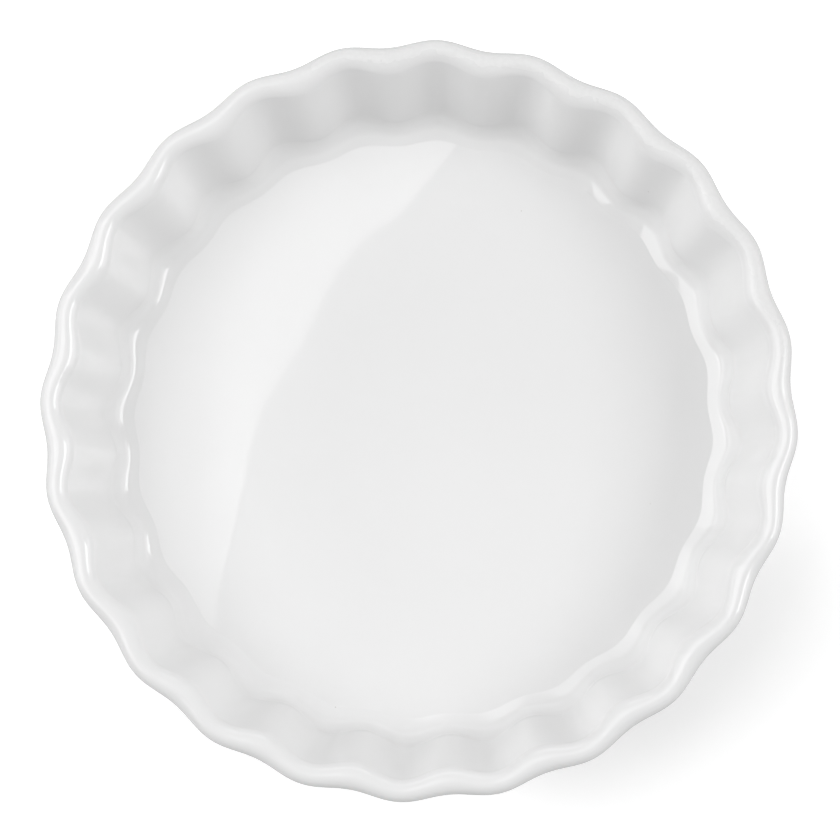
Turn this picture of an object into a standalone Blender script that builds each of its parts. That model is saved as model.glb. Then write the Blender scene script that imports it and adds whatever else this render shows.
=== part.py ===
"""A round ramekin with a fluted wall, in white glazed stoneware, at its fired size.

Run it with blender --background --python part.py, or from Blender's text editor.

The dish is made in the order of a pottery. The stoneware body is pressed in one piece, with a floor,
a leaning wall that waves in and out round the rim, and a low foot ring underneath. The glaze is a
skin of glass over it: one coat runs from the middle of the floor, up the wall, over the rim and down
the outside to the foot ring, and a second coat covers the recess inside the foot ring. The foot ring
is wiped clean before firing, so its sole stays bare and the dish stands on stoneware.

The origin is on the surface that the dish stands on, at the middle of the foot ring, with +Z up.
A flute crest lies on +X. Sizes are in metres and angles in degrees.
"""

import math

import bmesh
import bpy

# The finished dish, glaze included
RIM_ACROSS = 0.125  # over two opposite flute crests, at the widest of the rim
DISH_HEIGHT = 0.030
WALL_THICKNESS = 0.0044
FLOOR_THICKNESS = 0.0040
WALL_LEAN = 13.0  # of the wall from upright, opening upwards

# The flutes, as half of the wave's height from trough to crest
FLUTES = 24
RIM_WAVE = 0.0005
WALL_WAVE = 0.0006
FLOOR_WAVE = 0.00035

# The rounded edges, besides the lip, which is a full round as thick as the wall
COVE_RADIUS = 0.0042
BASE_ROUND_RADIUS = 0.0035
FOOT_EDGE_RADIUS = 0.0003

# The foot ring
FOOT_HEIGHT = 0.0015
FOOT_WIDTH = 0.0040
FOOT_SETBACK = 0.0035  # of the ring's outer side, from where the base begins to round upwards

# The glaze
GLAZE_THICKNESS = 0.0003
GLAZE_LINE_HEIGHT = 0.0008  # of the coats' lower edges, above the surface that the dish stands on
BOND_GAP = 0.00025  # a hairline between two solids that are fused on the real dish

# Facets
STEPS_PER_FLUTE = 6
PLAIN_STEPS = 72  # round a piece that has no flutes
LIP_INNER_STEPS = 2  # from the wall's inner face to the top of the rim
LIP_OUTER_STEPS = 3  # from the top of the rim to the widest of it
COVE_STEPS = 2
BASE_ROUND_STEPS = 2
SHARP_ANGLE = 50.0  # of a fold that is shaded as an edge
WELD_DISTANCE = 0.000001  # between copies of one vertex, which the turning leaves on the axis

# What follows from the sizes above
LEAN = math.radians(WALL_LEAN)
BODY_INSET = GLAZE_THICKNESS + BOND_GAP
RIM_RADIUS = RIM_ACROSS / 2 - RIM_WAVE
LIP_RADIUS = WALL_THICKNESS / 2
FLOOR_TOP = FOOT_HEIGHT + FLOOR_THICKNESS

STONEWARE = {"color": (0.80, 0.77, 0.71, 1.0), "roughness": 0.80, "metallic": 0.0}
WHITE_GLAZE = {"color": (0.88, 0.88, 0.87, 1.0), "roughness": 0.12, "metallic": 0.0}


def lip_centre():
    """The centre of the lip's round, which touches the top, the widest point and both faces of the wall."""
    return RIM_RADIUS - LIP_RADIUS, DISH_HEIGHT - LIP_RADIUS


def wall_face_radius(height, outer):
    """How far the wall's inner or outer face is from the axis at a height, midway between the flutes."""
    centre_radius, centre_height = lip_centre()
    middle = centre_radius - (centre_height - height) * math.tan(LEAN)
    half_wall = WALL_THICKNESS / 2 / math.cos(LEAN)
    return middle + half_wall if outer else middle - half_wall


def cove_centre():
    """The centre of the hollow round between the floor and the inside of the wall."""
    height = FLOOR_TOP + COVE_RADIUS
    return wall_face_radius(height, outer=False) - COVE_RADIUS / math.cos(LEAN), height


def base_round_centre():
    """The centre of the round between the outside of the wall and the underside."""
    height = FOOT_HEIGHT + BASE_ROUND_RADIUS
    return wall_face_radius(height, outer=True) - BASE_ROUND_RADIUS / math.cos(LEAN), height


def foot_radii():
    """The inner and outer radius of the foot ring, glaze included."""
    outer = base_round_centre()[0] - FOOT_SETBACK
    return outer - FOOT_WIDTH, outer


def arc(centre, radius, start, end, steps, start_wave, end_wave):
    """Section points along an arc, its angles measured from outwards up, the wave changing evenly."""
    points = []
    for step in range(steps + 1):
        share = step / steps
        angle = start + (end - start) * share
        points.append(
            (
                centre[0] + radius * math.cos(angle),
                centre[1] + radius * math.sin(angle),
                start_wave + (end_wave - start_wave) * share,
            )
        )
    return points


def coat_section(inset):
    """The main coat's outline, sunk by inset below the finished surface.

    It runs from the middle of the floor, over the rim, to the foot ring. Each point is its mean distance
    from the axis, its height and its wave.
    """
    down, up, across = -math.pi / 2, math.pi / 2, math.pi
    lip_radius = LIP_RADIUS - inset
    base_radius = BASE_ROUND_RADIUS - inset
    top_wave = (RIM_WAVE + WALL_WAVE) / 2
    floor = [(0.0, FLOOR_TOP - inset, 0.0)]
    cove = arc(cove_centre(), COVE_RADIUS + inset, down, -LEAN, COVE_STEPS, FLOOR_WAVE, WALL_WAVE)
    lip_inner = arc(lip_centre(), lip_radius, across - LEAN, up, LIP_INNER_STEPS, WALL_WAVE, top_wave)
    lip_outer = arc(lip_centre(), lip_radius, up, 0.0, LIP_OUTER_STEPS, top_wave, RIM_WAVE)[1:]
    under_lip = arc(lip_centre(), lip_radius, 0.0, -LEAN, 1, RIM_WAVE, RIM_WAVE)[1:]
    base = arc(base_round_centre(), base_radius, -LEAN, down, BASE_ROUND_STEPS, WALL_WAVE, FLOOR_WAVE)
    foot_outer = foot_radii()[1] - inset
    foot = [(foot_outer, FOOT_HEIGHT + inset, 0.0), (foot_outer, GLAZE_LINE_HEIGHT, 0.0)]
    return floor + cove + lip_inner + lip_outer + under_lip + base + foot


def recess_section(inset):
    """The recess coat's outline, sunk by inset, from the middle to the glaze line inside the foot."""
    foot_inner = foot_radii()[0] + inset
    height = FOOT_HEIGHT + inset
    return [(0.0, height, 0.0), (foot_inner, height, 0.0), (foot_inner, GLAZE_LINE_HEIGHT, 0.0)]


def foot_section():
    """The bare sole of the foot ring, with its two edges eased, from its outer side to its inner side."""
    inner, outer = foot_radii()
    outer -= BODY_INSET
    inner += BODY_INSET
    return [
        (outer, FOOT_EDGE_RADIUS, 0.0),
        (outer - FOOT_EDGE_RADIUS, 0.0, 0.0),
        (inner + FOOT_EDGE_RADIUS, 0.0, 0.0),
        (inner, FOOT_EDGE_RADIUS, 0.0),
    ]


def body_section():
    """The stoneware body's outline, from the middle of the floor over the rim and back under the foot."""
    return coat_section(BODY_INSET)[:-1] + foot_section() + recess_section(BODY_INSET)[-2::-1]


def shell_section(section):
    """The outline of a coat: its outer face from the axis to the glaze line, and its inner face back."""
    return section(0.0) + section(GLAZE_THICKNESS)[::-1]


def turned_mesh(name, section, steps):
    """A closed mesh turned round Z in steps, from a section that starts and ends there, and then fluted.

    Each vertex moves out or in by its wave times the cosine of its angle round Z, once for each flute.
    """
    mesh = bmesh.new()
    wave = mesh.verts.layers.float.new("wave")
    verts = []
    for radius, height, size in section:
        vert = mesh.verts.new((radius, 0.0, height))
        vert[wave] = size
        verts.append(vert)
    edges = [mesh.edges.new(pair) for pair in zip(verts, verts[1:])]
    bmesh.ops.spin(
        mesh,
        geom=verts + edges,
        cent=(0.0, 0.0, 0.0),
        axis=(0.0, 0.0, 1.0),
        angle=math.tau,
        steps=steps,
        use_duplicate=False,
    )
    bmesh.ops.remove_doubles(mesh, verts=mesh.verts, dist=WELD_DISTANCE)
    for vert in mesh.verts:
        radius = math.hypot(vert.co.x, vert.co.y)
        if radius > 0.0:
            swing = vert[wave] * math.cos(FLUTES * math.atan2(vert.co.y, vert.co.x))
            vert.co.x *= 1 + swing / radius
            vert.co.y *= 1 + swing / radius
    bmesh.ops.recalc_face_normals(mesh, faces=mesh.faces)
    data = bpy.data.meshes.new(name)
    mesh.to_mesh(data)
    mesh.free()
    return data


def material(name, finish):
    """A plain material with the finish's colour, roughness and metallic value."""
    made = bpy.data.materials.new(name)
    made.use_nodes = True
    shader = made.node_tree.nodes["Principled BSDF"]
    shader.inputs["Base Color"].default_value = finish["color"]
    shader.inputs["Roughness"].default_value = finish["roughness"]
    shader.inputs["Metallic"].default_value = finish["metallic"]
    made.diffuse_color = finish["color"]
    return made


def add_piece(name, section, steps, surface, parent):
    """Turns one piece of the dish, shades it smooth and hangs it under the dish's empty."""
    data = turned_mesh(name, section, steps)
    data.materials.append(surface)
    data.shade_smooth()
    data.set_sharp_from_angle(angle=math.radians(SHARP_ANGLE))
    piece = bpy.data.objects.new(name, data)
    bpy.context.scene.collection.objects.link(piece)
    piece.parent = parent
    return piece


def clear_scene():
    """Removes what the scene holds when the script starts."""
    for obj in list(bpy.data.objects):
        bpy.data.objects.remove(obj, do_unlink=True)


def main():
    """Builds the dish: its body, the coat that shows, and the coat in the recess under it."""
    clear_scene()
    dish = bpy.data.objects.new("ramekin", None)
    bpy.context.scene.collection.objects.link(dish)
    bare = material("bare_stoneware", STONEWARE)
    glaze = material("white_glaze", WHITE_GLAZE)
    fluted_steps = FLUTES * STEPS_PER_FLUTE
    add_piece("stoneware_body", body_section(), fluted_steps, bare, dish)
    add_piece("glaze_coat", shell_section(coat_section), fluted_steps, glaze, dish)
    add_piece("foot_recess_glaze", shell_section(recess_section), PLAIN_STEPS, glaze, dish)


main()
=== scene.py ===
"""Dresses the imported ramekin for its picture. Lengths are metres, +Z is up and the dish stands on Z = 0.

The dish is one fired piece of stoneware under a skin of glass. It is put together here as it is made:
the clay body, the main coat of glaze, the glaze in the recess under the foot, and then the table, the
lights and the camera.
"""

import math

import bpy
import numpy as np
from mathutils import Matrix, Vector


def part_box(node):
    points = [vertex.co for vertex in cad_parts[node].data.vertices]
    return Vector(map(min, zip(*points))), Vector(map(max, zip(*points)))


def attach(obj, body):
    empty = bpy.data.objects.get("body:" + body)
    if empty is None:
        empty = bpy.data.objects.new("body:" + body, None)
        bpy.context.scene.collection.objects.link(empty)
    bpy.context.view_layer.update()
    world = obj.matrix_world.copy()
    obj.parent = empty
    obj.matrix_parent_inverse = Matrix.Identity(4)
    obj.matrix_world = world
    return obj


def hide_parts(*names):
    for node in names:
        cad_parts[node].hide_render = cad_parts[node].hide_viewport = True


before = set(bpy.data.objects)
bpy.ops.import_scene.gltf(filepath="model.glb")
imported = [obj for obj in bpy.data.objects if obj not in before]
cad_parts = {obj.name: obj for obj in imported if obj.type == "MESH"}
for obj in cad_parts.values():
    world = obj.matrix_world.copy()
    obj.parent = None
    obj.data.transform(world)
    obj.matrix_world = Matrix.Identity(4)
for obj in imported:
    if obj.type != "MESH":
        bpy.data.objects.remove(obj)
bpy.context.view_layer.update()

# The stoneware body: the floor, the leaning fluted wall, the full-round lip and the foot ring, pressed in
# one piece of off-white clay and fired. It lies under the glaze everywhere but on the sole of the foot
# ring, which is wiped clean so that the dish doesn't stick to the kiln shelf.
coat_low, coat_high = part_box("glaze_coat")
recess_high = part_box("foot_recess_glaze")[1]
GLAZE_THICKNESS = 0.0003
BOND_GAP = 0.00025
RIM_ACROSS = coat_high.x - coat_low.x
DISH_HEIGHT = coat_high.z
GLAZE_LINE_HEIGHT = coat_low.z
FOOT_HEIGHT = recess_high.z - GLAZE_THICKNESS
FOOT_INNER_RADIUS = recess_high.x - GLAZE_THICKNESS
FOOT_WIDTH = 0.0040
FOOT_EDGE_EASE = 0.0003
RING_CLEARANCE = 0.00002
FLOOR_THICKNESS = 0.0040
OUTER_LEAN = math.radians(13.0)
INNER_LEAN = math.radians(14.3)  # more than outside, so the wall thickens towards its foot
LIP_INNER_RADIUS = 0.0024
LIP_OUTER_RADIUS = 0.0018
COVE_FIRST_SLOPE = math.radians(12.0)  # where the hollow leaves the floor, with a faint crease
COVE_ROUNDS = (  # each round's radius, the slope it ends at and the share of the wave gained by there
    (0.0185, math.radians(17.0), 0.1),
    (0.0028, math.radians(42.0), 0.4),
    (0.0051, math.pi / 2 - INNER_LEAN, 1.0),
)
CREASE_WIDTH = 0.00008
FLOOR_SAG = 0.00035  # of the middle of the floor, from its edge
BASE_ROUND_RADIUS = 0.0035
FLUTES = 24
RIM_WAVE = 0.0005  # each wave is half of its height from crest to trough
WALL_WAVE = 0.00095
FLOOR_WAVE = 0.00042
FLOOR_WAVE_FADE = 6  # the power of the distance from the axis that the wave dies out with
STEPS_PER_FLUTE = 20
BODY_DETAIL = 6  # points in each of the body's rounds
EDGE_POINTS = 5
BODY_TOP_RINGS = 4
KILN_WARPS = (  # how the fired rim is out of round: bulges, how far each way, and the way one bulge points
    (2, 0.00033, math.radians(75.5)),
    (3, 0.00012, math.radians(44.4)),
)
KILN_SLIP = 0.00042  # how far the foot stands to one side of the rim
KILN_SLIP_TOWARDS = math.radians(3.0)

LIP_TOP = (RIM_ACROSS / 2 - RIM_WAVE - LIP_OUTER_RADIUS, DISH_HEIGHT)
FLOOR_TOP = FOOT_HEIGHT + FLOOR_THICKNESS
FOOT_OUTER_RADIUS = FOOT_INNER_RADIUS + FOOT_WIDTH
UPWARDS, OUTWARDS, DOWNWARDS, INWARDS = math.pi / 2, 0.0, -math.pi / 2, math.pi


def wall_face(height, side, lip_radius, lean):
    """How far a leaning wall face lies from the axis at a height. Side is 1 outside and -1 inside.

    The face touches the lip's round, whose centre is a lip radius under the top. Below that it goes inwards
    by the drop from the centre times the tangent of the lean.
    """
    centre_height = LIP_TOP[1] - lip_radius
    return LIP_TOP[0] + side * lip_radius / math.cos(lean) - (centre_height - height) * math.tan(lean)


def arc(centre, radius, start, end, count, first_wave, last_wave):
    """Section points on an arc: the centre plus the radius times the cosine and the sine of each angle.

    A row holds the distance from the axis, the height, and half of the wave from crest to trough, which goes
    evenly from the first to the last.
    """
    share = np.linspace(0.0, 1.0, count)
    angle = start + (end - start) * share
    wave = first_wave + (last_wave - first_wave) * share
    return np.column_stack((centre[0] + radius * np.cos(angle), centre[1] + radius * np.sin(angle), wave))


def straight(start, end, count):
    """Section points evenly between two others, without the two: start plus a share of the way to end."""
    share = np.linspace(0.0, 1.0, count + 2)[1:-1, None]
    return np.asarray(start) + (np.asarray(end) - np.asarray(start)) * share


def cove_section(inset, detail):
    """The hollow round the floor: rounds that touch one after another, from the crease to the leaning face.

    Each round's centre lies off the one before by the difference of their radii along the slope they share.
    The first round's height comes from the floor, and how far out they all lie from the face.
    """
    centre = np.array([0.0, FLOOR_TOP + COVE_ROUNDS[0][0] * math.cos(COVE_FIRST_SLOPE)])
    slope, last_radius, wave = COVE_FIRST_SLOPE, COVE_ROUNDS[0][0], FLOOR_WAVE
    rounds = []
    for radius, next_slope, gained in COVE_ROUNDS:
        next_wave = FLOOR_WAVE + (WALL_WAVE - FLOOR_WAVE) * gained
        centre = centre + (last_radius - radius) * np.array([math.sin(slope), -math.cos(slope)])
        rounds.append(arc(
            centre, radius + inset, DOWNWARDS + slope, DOWNWARDS + next_slope, detail, wave, next_wave,
        ))
        slope, last_radius, wave = next_slope, radius, next_wave
    face = wall_face(centre[1], -1, LIP_INNER_RADIUS, INNER_LEAN)
    out = face - last_radius / math.cos(INNER_LEAN) - centre[0]
    joined = np.concatenate([rounds[0]] + [following[1:] for following in rounds[1:]])
    return joined + (out, 0.0, 0.0)


def glazed_section(inset, detail):
    """The dish's glazed outline, sunk by inset, from the middle of the floor over the rim to the foot ring.

    It is a floor that sags by a cosine squared, the hollow, the leaning face, a lip of a wide round inside
    and a tight one outside, the outer face and a round to the level base.
    """
    base_height = FOOT_HEIGHT + BASE_ROUND_RADIUS
    base_face = wall_face(base_height, 1, LIP_OUTER_RADIUS, OUTER_LEAN)
    base_centre = (base_face - BASE_ROUND_RADIUS / math.cos(OUTER_LEAN), base_height)
    inner_centre = (LIP_TOP[0], LIP_TOP[1] - LIP_INNER_RADIUS)
    outer_centre = (LIP_TOP[0], LIP_TOP[1] - LIP_OUTER_RADIUS)
    crown_wave = (RIM_WAVE + WALL_WAVE) / 2
    cove = cove_section(inset, detail)
    floor_radius = np.linspace(0.0, cove[0, 0] - CREASE_WIDTH, 2 * detail)
    share = floor_radius / cove[0, 0]
    sag = FLOOR_SAG * np.cos(share * math.pi / 2) ** 2
    floor = np.column_stack((floor_radius, FLOOR_TOP - inset - sag, FLOOR_WAVE * share ** FLOOR_WAVE_FADE))
    lip_in = arc(
        inner_centre, LIP_INNER_RADIUS - inset, INWARDS - INNER_LEAN, UPWARDS, detail, WALL_WAVE, crown_wave,
    )
    lip_out = arc(
        outer_centre, LIP_OUTER_RADIUS - inset, UPWARDS, -OUTER_LEAN, detail, crown_wave, RIM_WAVE,
    )[1:]
    base = arc(
        base_centre, BASE_ROUND_RADIUS - inset, -OUTER_LEAN, DOWNWARDS, detail, WALL_WAVE, FLOOR_WAVE,
    )
    heel = np.array([[FOOT_OUTER_RADIUS - inset, FOOT_HEIGHT + inset, 0.0]])
    return np.concatenate((
        floor, cove, straight(cove[-1], lip_in[0], detail), lip_in, lip_out,
        straight(lip_out[-1], base[0], detail), base, straight(base[-1], heel[0], 2), heel,
    ))


def turned(section):
    """The section turned round Z, as a grid with a row for each section point and a column for each angle.

    The distance from the axis gains the wave times the cosine of the angle times the number of flutes. It
    also gains each of the kiln's warps times the cosine of the angle from a bulge times their number, and
    the warps grow with height and distance. Then each row slides to one side by the kiln's slip, which falls
    to nothing at the rim.
    """
    angle = np.arange(FLUTES * STEPS_PER_FLUTE) * math.tau / (FLUTES * STEPS_PER_FLUTE)
    radius, height, wave = section.T[:, :, None]
    warp = sum(size * np.cos(bulges * (angle - towards)) for bulges, size, towards in KILN_WARPS)
    warped = warp * height / DISH_HEIGHT * np.minimum(radius / LIP_TOP[0], 1.0)
    swung = radius + wave * np.cos(FLUTES * angle) + warped
    slip = KILN_SLIP * (1.0 - height / DISH_HEIGHT)
    x = swung * np.cos(angle) + slip * math.cos(KILN_SLIP_TOWARDS)
    y = swung * np.sin(angle) + slip * math.sin(KILN_SLIP_TOWARDS)
    return np.stack((x, y, np.broadcast_to(height, swung.shape)), axis=-1)


def closed_turning(name, grid):
    """A closed smooth mesh from a turned grid whose first and last rows lie on the axis.

    Those two rows become one point each, with a fan of triangles to the next ring. Four-sided faces join
    the rings between, and each face runs outward along the section and then on round Z.
    """
    rows, columns = grid.shape[:2]
    points = np.concatenate((grid[:1, 0], grid[1:-1].reshape(-1, 3), grid[-1:, 0]))
    here = np.arange(columns)
    beside = np.roll(here, -1)
    ring = 1 + np.arange(rows - 3)[:, None] * columns
    quads = np.stack((ring + here, ring + columns + here, ring + columns + beside, ring + beside), axis=-1)
    last_ring = 1 + (rows - 3) * columns
    first_fan = np.stack((np.zeros_like(here), 1 + here, 1 + beside), axis=-1)
    last_point = np.full_like(here, len(points) - 1)
    last_fan = np.stack((last_ring + here, last_point, last_ring + beside), axis=-1)
    faces = first_fan.tolist() + quads.reshape(-1, 4).tolist() + last_fan.tolist()
    mesh = bpy.data.meshes.new(name)
    mesh.from_pydata(points.tolist(), [], faces)
    mesh.shade_smooth()
    piece = bpy.data.objects.new(name, mesh)
    bpy.context.scene.collection.objects.link(piece)
    return piece


def body_section():
    """The body's outline: sunk below the glaze, then down, under and up the foot ring, and in to the axis.

    Beside the glaze's lower edges the ring comes almost up to the glass, so that no dark gap shows there.
    """
    inset = GLAZE_THICKNESS + BOND_GAP
    outer = FOOT_OUTER_RADIUS - GLAZE_THICKNESS - RING_CLEARANCE
    inner = FOOT_INNER_RADIUS + GLAZE_THICKNESS + RING_CLEARANCE
    top = FOOT_HEIGHT + inset
    ease = FOOT_EDGE_EASE
    outer_edge = arc((outer - ease, ease), ease, OUTWARDS, DOWNWARDS, EDGE_POINTS, 0.0, 0.0)
    inner_edge = arc((inner + ease, ease), ease, DOWNWARDS, -INWARDS, EDGE_POINTS, 0.0, 0.0)
    recess_edge = np.array([[inner, top, 0.0]])
    middle = np.array([[0.0, top, 0.0]])
    return np.concatenate((
        glazed_section(inset, BODY_DETAIL), outer_edge,
        straight(outer_edge[-1], inner_edge[0], BODY_DETAIL), inner_edge,
        recess_edge, straight(recess_edge[0], middle[0], BODY_TOP_RINGS), middle,
    ))


def new_group(name, inputs, outputs):
    """An empty shader group with float inputs and their usual values, a Vector input, and float outputs."""
    group = bpy.data.node_groups.new(name, "ShaderNodeTree")
    group.interface.new_socket("Vector", in_out="INPUT", socket_type="NodeSocketVector")
    for label, value in inputs.items():
        socket = group.interface.new_socket(label, in_out="INPUT", socket_type="NodeSocketFloat")
        socket.default_value = value
    for label in outputs:
        group.interface.new_socket(label, in_out="OUTPUT", socket_type="NodeSocketFloat")
    return group


def add(tree, kind, inputs=(), **settings):
    """A node of a kind with its settings, and each named input set to a value or linked to a socket."""
    made = tree.nodes.new(kind)
    for label, value in settings.items():
        setattr(made, label, value)
    for label, value in dict(inputs).items():
        if isinstance(value, bpy.types.NodeSocket):
            tree.links.new(value, made.inputs[label])
        else:
            made.inputs[label].default_value = value
    return made


def specks_group():
    """Specks: 1 inside small round spots in a share of the cells of a Voronoi pattern, and 0 elsewhere."""
    group = new_group("specks", {"Scale": 500.0, "Share": 0.2, "Size": 0.2}, ["Mask"])
    given = add(group, "NodeGroupInput").outputs
    cells = add(group, "ShaderNodeTexVoronoi", {"Vector": given["Vector"], "Scale": given["Scale"]})
    chosen = add(group, "ShaderNodeSeparateColor", {"Color": cells.outputs["Color"]})
    picked = add(group, "ShaderNodeMath", {
        0: chosen.outputs["Red"], 1: given["Share"],
    }, operation="LESS_THAN")
    spot = add(group, "ShaderNodeMapRange", {
        "Value": cells.outputs["Distance"], "From Min": given["Size"], "From Max": 0.0,
    }, interpolation_type="SMOOTHSTEP")
    mask = add(group, "ShaderNodeMath", {
        0: spot.outputs["Result"], 1: picked.outputs[0],
    }, operation="MULTIPLY")
    add(group, "NodeGroupOutput", {"Mask": mask.outputs[0]})
    return group


def clouds_group():
    """Clouds: soft noise stretched so that it runs from 0 to 1 over the surface."""
    group = new_group("clouds", {"Scale": 60.0, "Detail": 2.0}, ["Mask"])
    given = add(group, "NodeGroupInput").outputs
    noise = add(group, "ShaderNodeTexNoise", {
        "Vector": given["Vector"], "Scale": given["Scale"], "Detail": given["Detail"],
    })
    mask = add(group, "ShaderNodeMapRange", {
        "Value": noise.outputs["Fac"], "From Min": 0.3, "From Max": 0.7,
    })
    add(group, "NodeGroupOutput", {"Mask": mask.outputs["Result"]})
    return group


SPECKS = specks_group()
CLOUDS = clouds_group()
CLAY = (0.78, 0.75, 0.69, 1.0)
CLAY_GREYED = (0.60, 0.57, 0.52, 1.0)  # where the sole has slid on shelves and tables
CLAY_IRON = (0.36, 0.27, 0.19, 1.0)
GREYED_AT_MOST = 0.45
GRIT_HEIGHT = 0.00004


def bare_stoneware():
    """Fired clay with no glaze: cloudy off-white, rubbed grey in places, with iron grains and fine grit."""
    material = bpy.data.materials.new("bare_stoneware")
    material.use_nodes = True
    tree = material.node_tree
    shader = tree.nodes["Principled BSDF"]
    place = add(tree, "ShaderNodeTexCoord").outputs["Object"]
    rubbed = add(tree, "ShaderNodeGroup", {
        "Vector": place, "Scale": 120.0, "Detail": 4.0,
    }, node_tree=CLOUDS)
    iron = add(tree, "ShaderNodeGroup", {
        "Vector": place, "Scale": 900.0, "Share": 0.06, "Size": 0.3,
    }, node_tree=SPECKS)
    grit = add(tree, "ShaderNodeGroup", {
        "Vector": place, "Scale": 3500.0, "Share": 0.8, "Size": 0.7,
    }, node_tree=SPECKS)
    grey = add(tree, "ShaderNodeMath", {0: rubbed.outputs["Mask"], 1: GREYED_AT_MOST}, operation="MULTIPLY")
    clay = add(tree, "ShaderNodeMix", {
        "Factor": grey.outputs[0], 6: CLAY, 7: CLAY_GREYED,
    }, data_type="RGBA")
    colour = add(tree, "ShaderNodeMix", {
        "Factor": iron.outputs["Mask"], 6: clay.outputs[2], 7: CLAY_IRON,
    }, data_type="RGBA")
    roughness = add(tree, "ShaderNodeMapRange", {
        "Value": rubbed.outputs["Mask"], "To Min": 0.85, "To Max": 0.62,
    })
    bump = add(tree, "ShaderNodeBump", {
        "Height": grit.outputs["Mask"], "Strength": 0.6, "Distance": GRIT_HEIGHT,
    })
    tree.links.new(colour.outputs[2], shader.inputs["Base Color"])
    tree.links.new(roughness.outputs["Result"], shader.inputs["Roughness"])
    tree.links.new(bump.outputs["Normal"], shader.inputs["Normal"])
    return material


body = closed_turning("fired_body", turned(body_section()))
body.data.materials.append(bare_stoneware())
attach(body, "root")
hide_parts("stoneware_body")

# The main coat of glaze: glass melted over the inside, the rim and the outside, down to a rounded edge on
# the foot ring. The dish is dipped in it, so it lies a little unevenly, gathers in the hollow round the
# floor and at its lower edge, and draws thin over the lip.
SWELLS = 14  # broad waves that the melted glaze froze in
SWELL_HEIGHT = 0.000006
SWELL_SHORTEST = 0.016
SWELL_LONGEST = 0.045
SWELL_SEED = 7
NOT_ZERO = 1e-12  # added to distances from the axis before they divide
FACE_DETAIL = 14  # points in each of the shining face's rounds
BACK_DETAIL = 5
NOSE_POINTS = 7
USUAL_DEPTH = 0.68  # as shares of the deepest glaze
GATHERED = 0.3
DRAWN_INSIDE = 0.55
DRAWN_OUTSIDE = 0.68
COVE_MIDDLE = 0.0508  # from the axis
GATHER_WIDTH = 0.0018
GLAZE_THIN = (0.773, 0.773, 0.774, 1.0)
GLAZE_DEEP = (0.84, 0.84, 0.84, 1.0)
GLAZE_SANDY = (0.73, 0.73, 0.728, 1.0)
GLAZE_PINHOLE = (0.42, 0.40, 0.37, 1.0)
SMOOTHEST = 0.015  # roughness of the glass
LEAST_SMOOTH = 0.03
STARVED_ROUGHNESS = 0.40
RIPPLE_HEIGHT = 0.0000006
SAND_HEIGHT = 0.000006
PINHOLE_DEPTH = 0.00006
LEE_SIDE = (0.47, 0.88, 0.0)  # the side of the rim that lay away from the kiln's flame
LEE_BEGINS = 0.026  # how far out that way the glaze begins to starve
LEE_FULL = 0.050
STARVES_BELOW = 0.36  # as shares of the deepest glaze
STARVED_FULLY = 0.02
CLOUD_DEPTH = 0.12


def swell(points):
    """How far the glaze stands proud: a sum of seeded sine waves, each with its own direction and length."""
    rng = np.random.default_rng(SWELL_SEED)
    direction = rng.normal(size=(SWELLS, 3))
    direction /= np.linalg.norm(direction, axis=1, keepdims=True)
    length = rng.uniform(SWELL_SHORTEST, SWELL_LONGEST, SWELLS)
    start = rng.uniform(0.0, math.tau, SWELLS)
    phase = points @ (direction * (math.tau / length)[:, None]).T + start
    return SWELL_HEIGHT * np.sin(phase).sum(axis=-1) / math.sqrt(SWELLS / 2)


def face_normals(grid, section):
    """The section's normal at each grid point: its run along the section turned a quarter, swung round Z."""
    run = np.gradient(section[:, :2], axis=0)
    run /= np.linalg.norm(run, axis=1, keepdims=True)
    along = np.hypot(grid[..., 0], grid[..., 1]) + NOT_ZERO
    outward = -run[:, 1][:, None] / along
    return np.stack((
        grid[..., 0] * outward, grid[..., 1] * outward, np.broadcast_to(run[:, 0][:, None], along.shape)
    ), axis=-1)


def glaze_depth(section):
    """How deep the glaze gathers: most in the hollow round the floor and by the foot, least over the lip.

    It is the usual depth, plus a bell about the hollow's distance from the axis and one about the foot's
    edge, less a share that grows evenly with height up the lip on each side.
    """
    radius, height = section[:, 0], section[:, 1]
    inside = np.arange(len(section)) < np.argmax(height)
    cove = np.where(inside, np.exp(-((radius - COVE_MIDDLE) / GATHER_WIDTH) ** 2), 0.0)
    foot = np.where(inside, 0.0, np.exp(-((height - GLAZE_LINE_HEIGHT) / GATHER_WIDTH) ** 2))
    lip = np.clip((height - LIP_TOP[1]) / LIP_INNER_RADIUS + 1.0, 0.0, 1.0)
    drawn = np.where(inside, DRAWN_INSIDE, DRAWN_OUTSIDE) * lip
    return np.clip(USUAL_DEPTH + GATHERED * (cove + foot) - drawn, 0.0, 1.0)


def coat_grid():
    """The coat: its shining face with the swells, a half-round lower edge, and its back face to the axis."""
    nose = GLAZE_THICKNESS / 2
    centre = (FOOT_OUTER_RADIUS - nose, GLAZE_LINE_HEIGHT + nose)
    edge = arc(centre, nose, OUTWARDS, -INWARDS, NOSE_POINTS, 0.0, 0.0)
    front = glazed_section(0.0, FACE_DETAIL)
    face = turned(front)
    face += face_normals(face, front) * swell(face)[..., None]
    back = glazed_section(GLAZE_THICKNESS, BACK_DETAIL)[::-1]
    section = np.concatenate((front, edge, back))
    return np.concatenate((face, turned(edge), turned(back))), glaze_depth(section)


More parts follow.
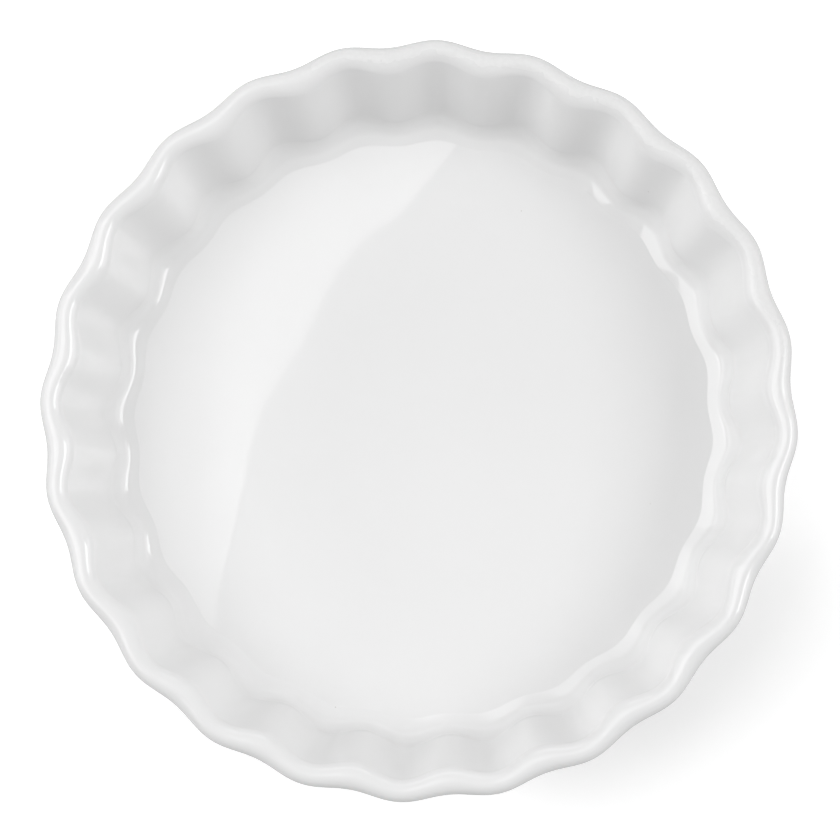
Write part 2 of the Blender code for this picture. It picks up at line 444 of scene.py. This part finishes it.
def white_glaze():
    """Glossy white glass over clay: whiter where it is deep, with pinholes, faint clouds and a fine ripple.

    Over the lip, on the side away from the kiln's flame, it is starved: matte and sandy in soft patches.
    """
    material = bpy.data.materials.new("white_glaze")
    material.use_nodes = True
    tree = material.node_tree
    shader = tree.nodes["Principled BSDF"]
    shader.inputs["IOR"].default_value = 1.5
    place = add(tree, "ShaderNodeTexCoord").outputs["Object"]
    depth = add(tree, "ShaderNodeAttribute", attribute_name="glaze_depth").outputs["Fac"]
    drift = add(tree, "ShaderNodeGroup", {
        "Vector": place, "Scale": 45.0, "Detail": 3.0,
    }, node_tree=CLOUDS)
    ripple = add(tree, "ShaderNodeGroup", {
        "Vector": place, "Scale": 260.0, "Detail": 1.0,
    }, node_tree=CLOUDS)
    patches = add(tree, "ShaderNodeGroup", {
        "Vector": place, "Scale": 300.0, "Detail": 4.0,
    }, node_tree=CLOUDS)
    sand = add(tree, "ShaderNodeGroup", {
        "Vector": place, "Scale": 1500.0, "Detail": 3.0,
    }, node_tree=CLOUDS)
    pinholes = add(tree, "ShaderNodeGroup", {
        "Vector": place, "Scale": 330.0, "Share": 0.035, "Size": 0.045,
    }, node_tree=SPECKS)

    lee = add(tree, "ShaderNodeVectorMath", {0: place, 1: LEE_SIDE}, operation="DOT_PRODUCT")
    behind = add(tree, "ShaderNodeMapRange", {
        "Value": lee.outputs["Value"], "From Min": LEE_BEGINS, "From Max": LEE_FULL,
    })
    thin = add(tree, "ShaderNodeMapRange", {
        "Value": depth, "From Min": STARVES_BELOW, "From Max": STARVED_FULLY,
    })
    both = add(tree, "ShaderNodeMath", {0: behind.outputs[0], 1: thin.outputs[0]}, operation="MULTIPLY")
    varied = add(tree, "ShaderNodeMapRange", {
        "Value": patches.outputs["Mask"], "To Min": 0.8, "To Max": 1.6,
    })
    starved = add(tree, "ShaderNodeMath", {
        0: both.outputs[0], 1: varied.outputs[0],
    }, operation="MULTIPLY", use_clamp=True)
    sifted = add(tree, "ShaderNodeMapRange", {"Value": sand.outputs["Mask"], "To Min": 0.45})
    grains = add(tree, "ShaderNodeMath", {
        0: starved.outputs[0], 1: sifted.outputs[0],
    }, operation="MULTIPLY")

    shade = add(tree, "ShaderNodeMath", {
        0: drift.outputs["Mask"], 1: CLOUD_DEPTH, 2: depth,
    }, operation="MULTIPLY_ADD")
    glass = add(tree, "ShaderNodeMix", {
        "Factor": shade.outputs[0], 6: GLAZE_THIN, 7: GLAZE_DEEP,
    }, data_type="RGBA")
    sandy = add(tree, "ShaderNodeMix", {
        "Factor": grains.outputs[0], 6: glass.outputs[2], 7: GLAZE_SANDY,
    }, data_type="RGBA")
    colour = add(tree, "ShaderNodeMix", {
        "Factor": pinholes.outputs["Mask"], 6: sandy.outputs[2], 7: GLAZE_PINHOLE,
    }, data_type="RGBA")
    gloss = add(tree, "ShaderNodeMapRange", {
        "Value": drift.outputs["Mask"], "To Min": SMOOTHEST, "To Max": LEAST_SMOOTH,
    })
    roughness = add(tree, "ShaderNodeMapRange", {
        "Value": starved.outputs[0], "To Min": gloss.outputs["Result"], "To Max": STARVED_ROUGHNESS,
    })
    rippled = add(tree, "ShaderNodeBump", {"Height": ripple.outputs["Mask"], "Distance": RIPPLE_HEIGHT})
    sanded = add(tree, "ShaderNodeBump", {
        "Height": grains.outputs[0], "Strength": 0.25, "Distance": SAND_HEIGHT,
        "Normal": rippled.outputs["Normal"],
    })
    pitted = add(tree, "ShaderNodeBump", {
        "Height": pinholes.outputs["Mask"], "Strength": 0.7, "Distance": PINHOLE_DEPTH,
        "Normal": sanded.outputs["Normal"],
    }, invert=True)
    tree.links.new(colour.outputs[2], shader.inputs["Base Color"])
    tree.links.new(roughness.outputs["Result"], shader.inputs["Roughness"])
    tree.links.new(pitted.outputs["Normal"], shader.inputs["Normal"])
    return material


GLAZE = white_glaze()


def store_depth(piece, depth, columns):
    """Keeps the glaze's depth on the mesh's points: one value for each pole and for each ring between."""
    values = np.concatenate((depth[:1], np.repeat(depth[1:-1], columns), depth[-1:]))
    layer = piece.data.attributes.new("glaze_depth", "FLOAT", "POINT")
    layer.data.foreach_set("value", values.astype(np.float32))


grid, depth = coat_grid()
coat = closed_turning("glaze_over_dish", grid)
store_depth(coat, depth, grid.shape[1])
coat.data.materials.append(GLAZE)
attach(coat, "root")
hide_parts("glaze_coat")

# The glaze in the recess: the same dip, cut off from the main coat where the foot ring was wiped. It
# covers the underside inside the ring, with a rounded edge down the ring's inner side.
RECESS_DEPTH = 0.68
RECESS_BACK_RINGS = 4
RECESS_FACE_RINGS = 16


def recess_grid():
    """The recess glaze: level under the floor, down the ring's inner side, round the edge and back."""
    nose = GLAZE_THICKNESS / 2
    centre = (FOOT_INNER_RADIUS + nose, GLAZE_LINE_HEIGHT + nose)
    edge = arc(centre, nose, -INWARDS, OUTWARDS, NOSE_POINTS, 0.0, 0.0)
    back_corner = np.array([[FOOT_INNER_RADIUS + GLAZE_THICKNESS, recess_high.z, 0.0]])
    front_corner = np.array([[FOOT_INNER_RADIUS, FOOT_HEIGHT, 0.0]])
    back_middle = np.array([[0.0, recess_high.z, 0.0]])
    front_middle = np.array([[0.0, FOOT_HEIGHT, 0.0]])
    return turned(np.concatenate((
        back_middle, straight(back_middle[0], back_corner[0], RECESS_BACK_RINGS), back_corner, edge[::-1],
        front_corner, straight(front_corner[0], front_middle[0], RECESS_FACE_RINGS), front_middle,
    )))


grid = recess_grid()
recess = closed_turning("glaze_in_recess", grid)
store_depth(recess, np.full(grid.shape[0], RECESS_DEPTH), grid.shape[1])
recess.data.materials.append(GLAZE)
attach(recess, "root")
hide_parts("foot_recess_glaze")

# The table: a plain pale sheet under the dish, much wider than the view. It glows for the camera alone and
# looks as white as a sweep that is lit from below, but less so towards the near right: a painted shadow
# beside the dish. It sends less light back than it shows.
TABLE_HALF = 1.5
TABLE_ROUGHNESS = 0.9
TABLE_SEEN = (0.90, 0.90, 0.90, 1.0)
TABLE_BOUNCE = (0.55, 0.55, 0.55, 1.0)
TABLE_GLOW = 0.32
TABLE_GLOW_IN_PAINTED_SHADOW = 0.20
TABLE_PAINTED_SHADOW_WAY = (0.741, -0.672, 0.0)
TABLE_PAINTED_SHADOW_BEARINGS = (0.80, 0.97)  # cosines of how far off that way the painted shadow begins and is full

table_mesh = bpy.data.meshes.new("table")
table_corners = [(-TABLE_HALF, -TABLE_HALF, 0.0), (TABLE_HALF, -TABLE_HALF, 0.0),
                 (TABLE_HALF, TABLE_HALF, 0.0), (-TABLE_HALF, TABLE_HALF, 0.0)]
table_mesh.from_pydata(table_corners, [], [(0, 1, 2, 3)])
table = bpy.data.objects.new("table", table_mesh)
bpy.context.scene.collection.objects.link(table)
table_finish = bpy.data.materials.new("table_sheet")
table_finish.use_nodes = True
sheet = table_finish.node_tree
table_shader = sheet.nodes["Principled BSDF"]
table_shader.inputs["Roughness"].default_value = TABLE_ROUGHNESS
table_shader.inputs["Specular IOR Level"].default_value = 0.0
seen = add(sheet, "ShaderNodeLightPath").outputs["Is Camera Ray"]
table_white = add(sheet, "ShaderNodeMix", {
    "Factor": seen, 6: TABLE_BOUNCE, 7: TABLE_SEEN,
}, data_type="RGBA")
# The glow dips towards the near right: a painted shadow beside the dish, on top of the shadow the lamps
# cast.
spot = add(sheet, "ShaderNodeTexCoord").outputs["Object"]
bearing = add(sheet, "ShaderNodeVectorMath", {0: spot}, operation="NORMALIZE").outputs["Vector"]
painted_shadow_bearing = add(sheet, "ShaderNodeVectorMath", {0: bearing, 1: TABLE_PAINTED_SHADOW_WAY}, operation="DOT_PRODUCT")
glow_with_painted_shadow = add(sheet, "ShaderNodeMapRange", {
    "Value": painted_shadow_bearing.outputs["Value"],
    "From Min": TABLE_PAINTED_SHADOW_BEARINGS[0], "From Max": TABLE_PAINTED_SHADOW_BEARINGS[1],
    "To Min": TABLE_GLOW, "To Max": TABLE_GLOW_IN_PAINTED_SHADOW,
}, interpolation_type="SMOOTHSTEP")
table_light = add(sheet, "ShaderNodeMath", {0: seen, 1: glow_with_painted_shadow.outputs["Result"]}, operation="MULTIPLY")
sheet.links.new(table_white.outputs[2], table_shader.inputs["Base Color"])
sheet.links.new(table_light.outputs[0], table_shader.inputs["Emission Strength"])
table_shader.inputs["Emission Color"].default_value = (1.0, 1.0, 1.0, 1.0)
table_mesh.materials.append(table_finish)

# The camera: almost straight above the dish, a little towards the viewer, with the picture turned so that
# a flute crest lies just below its right side.
PICTURE_TURN = math.radians(2.8)
RIM_LEVEL = 0.0278
CAMERA_RISE = 0.650  # above the rim
CAMERA_RIGHT = 0.0124
CAMERA_BACK = 0.049
PICTURE_WIDTH_AT_RIM = 0.1380
AIM_RIGHT = 0.00022
AIM_BACK = 0.00030
SENSOR_WIDTH = 36.0

right = Vector((math.cos(PICTURE_TURN), math.sin(PICTURE_TURN), 0.0))
away = Vector((-math.sin(PICTURE_TURN), math.cos(PICTURE_TURN), 0.0))
rim_middle = Vector((0.0, 0.0, RIM_LEVEL))
eye = rim_middle + right * CAMERA_RIGHT - away * CAMERA_BACK + Vector((0.0, 0.0, CAMERA_RISE))
aim = rim_middle + right * AIM_RIGHT - away * AIM_BACK
forward = (aim - eye).normalized()
across = (right - forward * right.dot(forward)).normalized()
camera = bpy.data.objects.new("camera", bpy.data.cameras.new("camera"))
bpy.context.scene.collection.objects.link(camera)
turned_to_aim = Matrix((across, across.cross(forward), -forward)).transposed().to_4x4()
camera.matrix_world = Matrix.Translation(eye) @ turned_to_aim
camera.data.sensor_width = SENSOR_WIDTH
camera.data.lens = SENSOR_WIDTH * (aim - eye).length / PICTURE_WIDTH_AT_RIM
bpy.context.scene.camera = camera

# The lights: soft boxes on the left, from almost over the dish, where they are dim, down to the table, a
# narrower bright one on the right with a dim one below it, and a low one at the far side. Round them is a
# pale room, which the camera sees as plain white.
LIGHT_DISTANCE = 1.2
ROOM_SIDES = (  # each side's name, its axis, its direction along that axis, and its brightness
    ("left side", "X", -1.0, 0.45),
    ("right side", "X", 1.0, 0.68),
    ("near side", "Y", -1.0, 0.33),
    ("far side", "Y", 1.0, 0.02),
    ("ceiling", "Z", 1.0, 0.37),
)
SOFT_BOXES = (  # name, angle round the picture, tilt from overhead, slide, width, height and radiance
    ("left_edge", 152.7, 8.26, -0.08, 0.45, 0.138, 1.52),
    ("left_flank", 152.7, 25.9, -0.27, 0.32, 0.62, 1.52),
    ("left_high", 152.7, 25.9, 0.30, 0.81, 0.62, 2.63),
    ("left_next", 175.0, 44.5, 0.0, 0.90, 0.168, 3.54),
    ("left_low", 175.0, 70.5, 0.0, 1.00, 0.40, 2.12),
    ("right_high", -2.0, 42.0, 0.0, 0.56, 0.40, 5.25),
    ("right_low", 0.0, 66.0, 0.0, 0.80, 0.61, 1.42),
    ("far_low", 90.0, 69.5, 0.0, 1.00, 0.40, 1.97),
)


def soft_box(name, azimuth, tilt, slide, width, height, radiance):
    """An area light that faces the dish, at an angle round it in the picture and a tilt from overhead.

    It is then slid along its width, anticlockwise in the picture.
    """
    data = bpy.data.lights.new(name, "AREA")
    data.shape = "RECTANGLE"
    data.size = width
    data.size_y = height
    data.energy = radiance * math.pi * width * height
    lamp = bpy.data.objects.new(name, data)
    bpy.context.scene.collection.objects.link(lamp)
    turn = math.radians(azimuth) + PICTURE_TURN
    lean = math.radians(tilt)
    back = Vector((math.sin(lean) * math.cos(turn), math.sin(lean) * math.sin(turn), math.cos(lean)))
    side = Vector((-math.sin(turn), math.cos(turn), 0.0))
    facing = Matrix((side, back.cross(side), back)).transposed().to_4x4()
    lamp.matrix_world = Matrix.Translation(back * LIGHT_DISTANCE + side * slide) @ facing
    lamp.visible_camera = False


for box in SOFT_BOXES:
    soft_box(*box)

world = bpy.data.worlds.new("room")
world.use_nodes = True
sky = world.node_tree
towards = add(sky, "ShaderNodeTexCoord").outputs["Generated"]
parts = add(sky, "ShaderNodeSeparateXYZ", {"Vector": towards}).outputs
room = 0.0
for label, axis, direction, brightness in ROOM_SIDES:
    along = add(sky, "ShaderNodeMath", {0: parts[axis], 1: direction}, operation="MULTIPLY")
    ahead = add(sky, "ShaderNodeMath", {0: along.outputs[0], 1: 0.0}, operation="MAXIMUM")
    squared = add(sky, "ShaderNodeMath", {0: ahead.outputs[0], 1: 2.0}, operation="POWER")
    summed = add(sky, "ShaderNodeMath", {
        0: squared.outputs[0], 1: brightness, 2: room,
    }, operation="MULTIPLY_ADD")
    summed.label = label
    room = summed.outputs[0]
backdrop_seen = add(sky, "ShaderNodeLightPath").outputs["Is Camera Ray"]
shown = add(sky, "ShaderNodeMath", {0: room, 1: backdrop_seen}, operation="MAXIMUM")
sky.links.new(shown.outputs[0], sky.nodes["Background"].inputs["Strength"])
sky.nodes["Background"].inputs["Color"].default_value = (1.0, 1.0, 1.0, 1.0)
bpy.context.scene.world = world
bpy.context.scene.view_settings.view_transform = "Standard"
